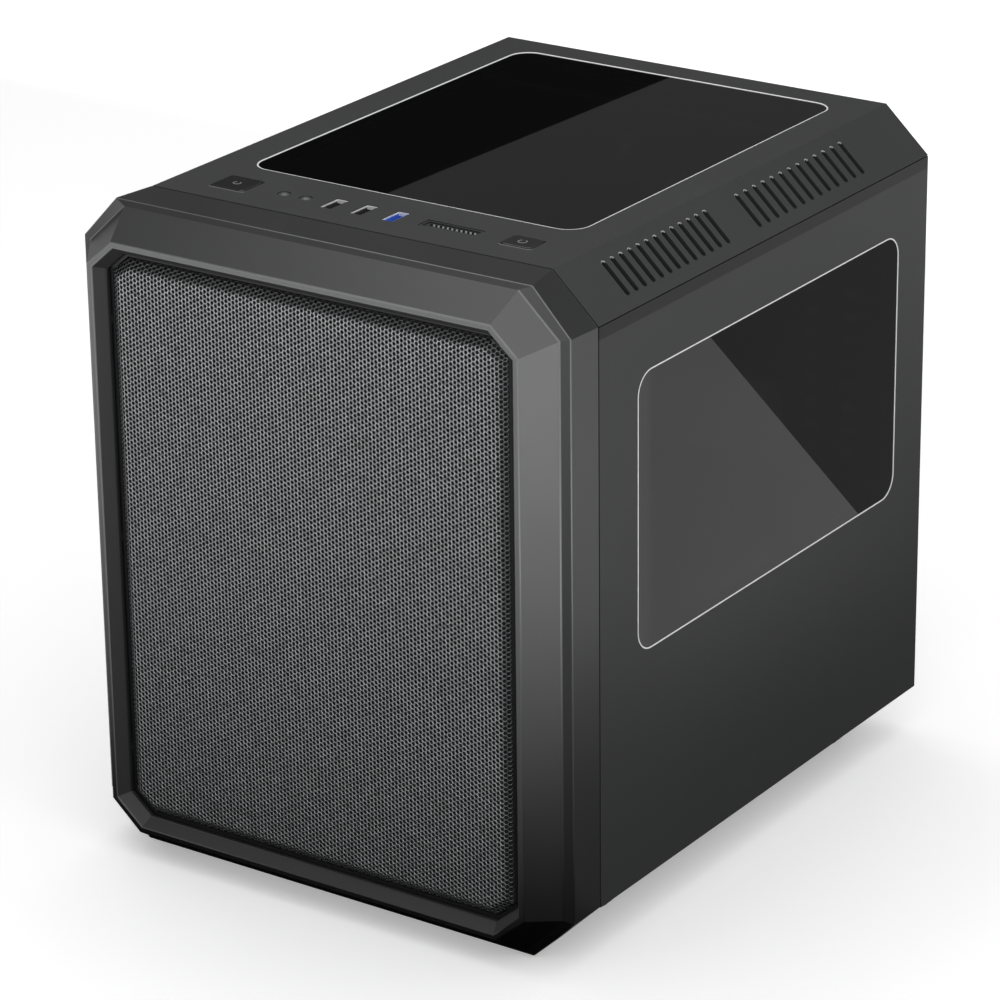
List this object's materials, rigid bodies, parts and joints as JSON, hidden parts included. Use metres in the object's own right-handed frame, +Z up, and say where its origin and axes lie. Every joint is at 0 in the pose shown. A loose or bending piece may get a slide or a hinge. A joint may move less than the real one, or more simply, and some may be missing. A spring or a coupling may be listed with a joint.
{
  "type": "mini itx computer case",
  "caption": "Cube-shaped small computer case with a perforated front bezel, smoked top and side windows, vents, ports, buttons, fans and sliding side panels.",
  "frame": {"origin": "on the floor, under the middle of the case's box", "axes": "+Z up, front towards -Y, the windowed side towards +X"},
  "size_m": [0.26, 0.3294, 0.3165],
  "materials": {
    "cover_plastic": "fine textured",
    "panel_steel": "satin black paint",
    "frame_steel": "satin black paint",
    "mesh_steel": "satin black paint",
    "smoked_acrylic": "polished",
    "zinc": "zinc plated",
    "black_screw": "black zinc",
    "brass": "plain",
    "board_green": "lacquered",
    "key_gloss": "gloss",
    "black_nylon": "plain",
    "lamp_lens": "frosted",
    "port_metal": "bright plated",
    "port_white": "plain",
    "port_blue": "plain",
    "fan_plastic": "plain",
    "filter_net": "woven nylon net in a moulded frame",
    "foot_plastic": "plain",
    "rubber": "plain"
  },
  "bodies": {
    "chassis": {"base_pan": "frame_steel", "front_panel": "frame_steel", "rear_panel": "frame_steel", "left_rail": "frame_steel", "right_rail": "frame_steel", "motherboard_tray": "frame_steel", "standoffs": "brass", "psu_pads": "rubber", "drive_cage": "frame_steel", "drive_tray_lower": "black_nylon", "drive_tray_upper": "black_nylon", "slot_covers": "frame_steel", "slot_cover_screws": "zinc", "feet": "foot_plastic", "foot_pads": "rubber", "foot_screws": "zinc", "filter_rails": "black_nylon", "top_cover": "cover_plastic", "top_window": "smoked_acrylic", "cover_screws": "zinc", "io_board": "board_green", "io_board_screws": "zinc", "power_switch": "black_nylon", "reset_switch": "black_nylon", "indicator_lamps": "lamp_lens", "usb2_shells": "port_metal", "usb2_tongues": "port_white", "usb3_shell": "port_metal", "usb3_tongue": "port_blue", "card_reader": "black_nylon", "front_fan_frame": "fan_plastic", "front_fan_screws": "zinc", "rear_fan_frame": "fan_plastic", "rear_fan_screws": "zinc", "front_filter": "filter_net"},
    "bezel": {"front_bezel": "cover_plastic", "bezel_pins": "black_nylon", "front_mesh": "mesh_steel", "mesh_liner": "filter_net", "mesh_push_nuts": "zinc"},
    "left_side": {"left_panel": "panel_steel", "left_thumbscrews": "black_screw"},
    "right_side": {"right_panel": "panel_steel", "side_window": "smoked_acrylic", "window_rivets": "black_nylon", "right_thumbscrews": "black_screw"},
    "front_rotor": {"front_fan_rotor": "fan_plastic"},
    "rear_rotor": {"rear_fan_rotor": "fan_plastic"},
    "power_key": {"power_button": "key_gloss"},
    "reset_key": {"reset_button": "key_gloss"},
    "dust_filter": {"bottom_filter": "filter_net"}
  },
  "joints": [
    {"name": "power_press", "type": "slide", "parent": "chassis", "child": "power_key", "axis": [0, 0, -1], "range_m": [0, 0.0015], "stiffness_N_per_m": 400},
    {"name": "reset_press", "type": "slide", "parent": "chassis", "child": "reset_key", "axis": [0, 0, -1], "range_m": [0, 0.0015], "stiffness_N_per_m": 400},
    {"name": "front_fan_spin", "type": "hinge", "parent": "chassis", "child": "front_rotor", "pos_m": [0, -0.1123, 0.156], "axis": [0, 1, 0], "continuous": true},
    {"name": "rear_fan_spin", "type": "hinge", "parent": "chassis", "child": "rear_rotor", "pos_m": [-0.0246, 0.1417, 0.231], "axis": [0, 1, 0], "continuous": true},
    {"name": "left_panel_slide", "type": "slide", "parent": "chassis", "child": "left_side", "axis": [0, 1, 0], "range_m": [0, 0.02]},
    {"name": "right_panel_slide", "type": "slide", "parent": "chassis", "child": "right_side", "axis": [0, 1, 0], "range_m": [0, 0.02]},
    {"name": "bezel_pull", "type": "slide", "parent": "chassis", "child": "bezel", "axis": [0, -1, 0], "range_m": [0, 0.03]},
    {"name": "filter_slide", "type": "slide", "parent": "chassis", "child": "dust_filter", "axis": [0, 1, 0], "range_m": [0, 0.14]}
  ]
}
